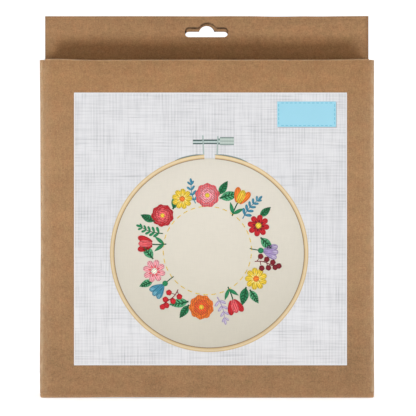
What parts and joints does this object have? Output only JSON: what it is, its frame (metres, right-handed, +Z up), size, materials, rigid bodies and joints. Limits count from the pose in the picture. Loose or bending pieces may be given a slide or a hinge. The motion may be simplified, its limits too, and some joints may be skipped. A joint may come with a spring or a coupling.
{
  "type": "hanging craft kit carton",
  "caption": "Shallow kraft-board carton standing upright, with a two-ply header and euro slot above its back, a hinged tuck lid and a square printed label on the front.",
  "frame": {"origin": "middle of the bottom of the carton's bounding box, on the surface it stands on", "axes": "+X to the right as the label is read, +Y from the label towards the back, +Z up towards the header"},
  "size_m": [0.19, 0.0344, 0.2204],
  "materials": {
    "kraft_board": "uncoated brown kraft liner with fine fibre mottle, matte",
    "label_paper": "smooth printed paper, satin"
  },
  "bodies": {
    "carton": {"carton_wrap": "kraft_board", "back_panel_inner": "kraft_board", "back_panel_outer": "kraft_board", "top_dust_flap_left": "kraft_board", "top_dust_flap_right": "kraft_board", "bottom_panel": "kraft_board", "bottom_tuck_flap": "kraft_board", "bottom_dust_flap_left": "kraft_board", "bottom_dust_flap_right": "kraft_board", "front_label": "label_paper"},
    "lid": {"top_lid": "kraft_board", "top_tuck_flap": "kraft_board"}
  },
  "joints": [
    {"name": "lid_hinge", "type": "hinge", "parent": "carton", "child": "lid", "pos_m": [0, -0.01675, 0.19145], "axis": [1, 0, 0], "range_deg": [0, 160]}
  ]
}
